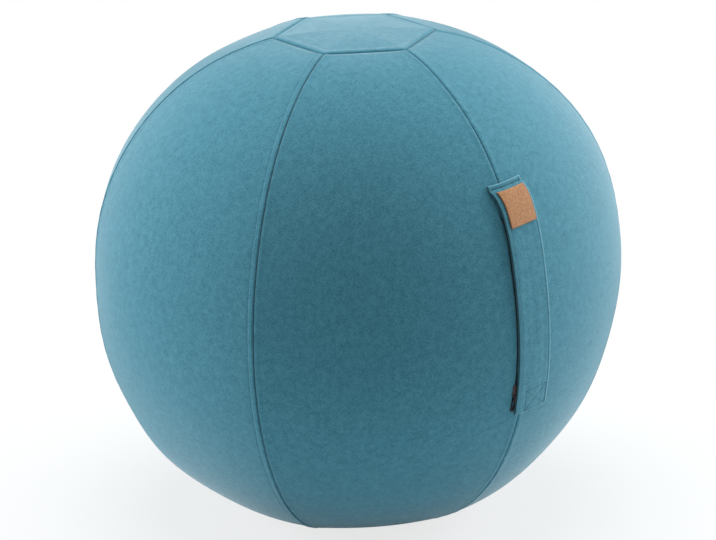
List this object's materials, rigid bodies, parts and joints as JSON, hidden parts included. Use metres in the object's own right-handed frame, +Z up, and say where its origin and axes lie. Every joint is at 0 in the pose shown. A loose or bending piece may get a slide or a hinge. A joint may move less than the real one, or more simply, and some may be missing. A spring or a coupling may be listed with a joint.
{
  "type": "sitting ball",
  "caption": "Round sitting ball: an inflated bladder in a zipped felt cover of curved panels, with a flat base and a carrying strap.",
  "frame": {"origin": "centre of the flat base panel, on the floor", "axes": "+Z up; -Y towards the zip and the strap; +X to the right as the strap is faced"},
  "size_m": [0.6354, 0.6562, 0.6],
  "materials": {
    "felt": "melange felt",
    "vinyl": "soft vinyl",
    "valve_plastic": "moulded",
    "zip_textile": "woven tape",
    "zip_nylon": "moulded",
    "dark_metal": "satin",
    "patch": "natural grain"
  },
  "bodies": {
    "ball": {"bladder": "vinyl", "valve_collar": "valve_plastic", "valve_plug": "valve_plastic", "side_panel_1": "felt", "side_panel_2": "felt", "side_panel_3": "felt", "side_panel_4": "felt", "side_panel_5": "felt", "side_panel_6": "felt", "top_panel": "felt", "base_panel": "felt", "zip_tape_left": "zip_textile", "zip_tape_right": "zip_textile", "zip_teeth_left": "zip_nylon", "zip_teeth_right": "zip_nylon", "zip_bottom_stop": "dark_metal", "zip_top_stop": "dark_metal", "strap_lower_end": "felt", "strap_upper_end": "felt"},
    "slider": {"zip_slider": "dark_metal"},
    "pull": {"zip_pull": "dark_metal"},
    "strap": {"strap_span": "felt", "label_patch": "patch"}
  },
  "joints": [
    {"name": "zip_travel", "type": "hinge", "parent": "ball", "child": "slider", "pos_m": [0, 0, 0.297], "axis": [-1, 0.0023, -0.0058], "range_deg": [0, 34.5]},
    {"name": "pull_swing", "type": "hinge", "parent": "slider", "child": "pull", "pos_m": [-0.0003, -0.31845, 0.22338], "axis": [-1, 0.0023, -0.0058], "range_deg": [0, 180]},
    {"name": "strap_lift", "type": "slide", "parent": "ball", "child": "strap", "axis": [0.0739, -0.9814, 0.1771], "range_m": [0, 0.012], "stiffness_N_per_m": 200}
  ]
}
